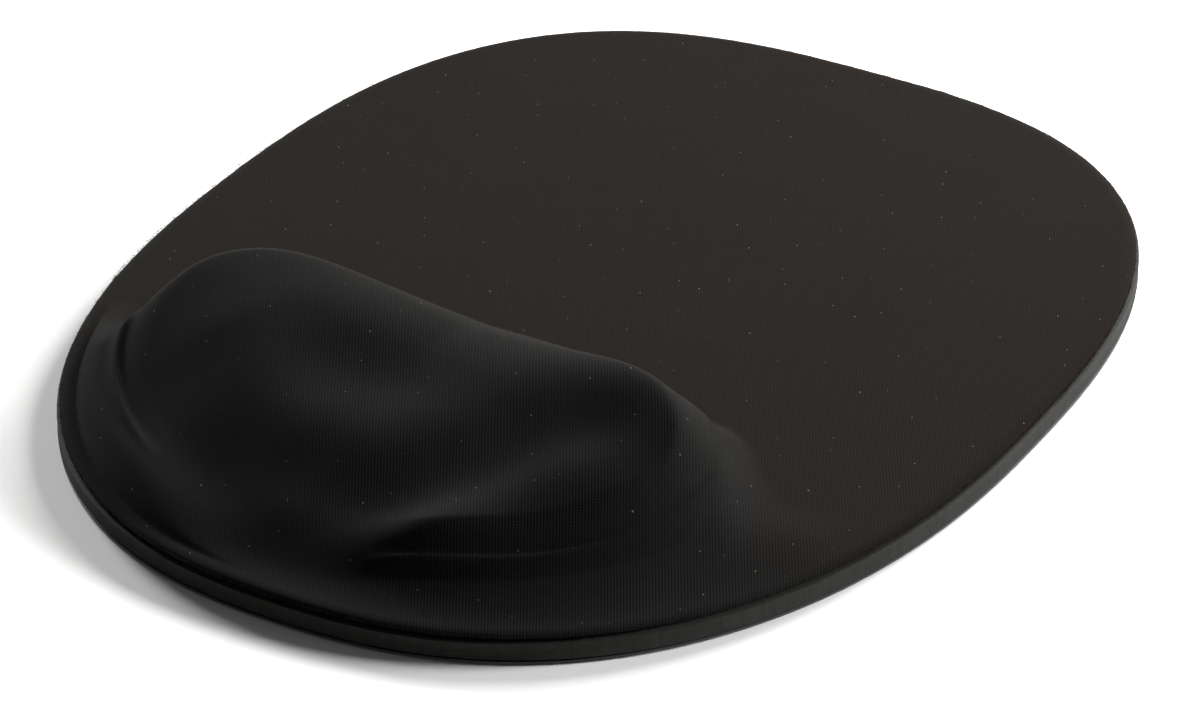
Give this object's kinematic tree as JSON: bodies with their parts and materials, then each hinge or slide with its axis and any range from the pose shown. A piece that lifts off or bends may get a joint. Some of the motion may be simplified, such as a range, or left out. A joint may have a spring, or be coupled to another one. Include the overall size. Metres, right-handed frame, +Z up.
{
  "type": "ergonomic mouse pad with wrist rest",
  "caption": "Rounded black mouse pad with a cloth-covered, two-lobed gel wrist rest along its near edge, on a foam slab with an anti-slip base.",
  "frame": {"origin": "on the desk, in the middle of the pad's width and length, at the underside of the anti-slip sheet", "axes": "+X to the user's right, +Y away from the user, +Z up; the cushion is along the near (-Y) edge"},
  "size_m": [0.2, 0.25, 0.0295],
  "materials": {
    "anti_slip_rubber": "textured anti-slip sheet",
    "slab_foam": "die-cut closed-cell foam",
    "former_foam": "moulded soft foam",
    "pouch_film": "thin clear polyurethane film",
    "gel": "soft clear silicone gel",
    "cover_cloth": "fine black stretch knit"
  },
  "bodies": {
    "root": {"anti_slip_sheet": "anti_slip_rubber", "foam_slab": "slab_foam", "wrist_former": "former_foam", "gel_pouch_lower_film": "pouch_film", "gel_core": "gel", "gel_pouch_upper_film": "pouch_film", "cloth_cover": "cover_cloth"}
  },
  "joints": []
}
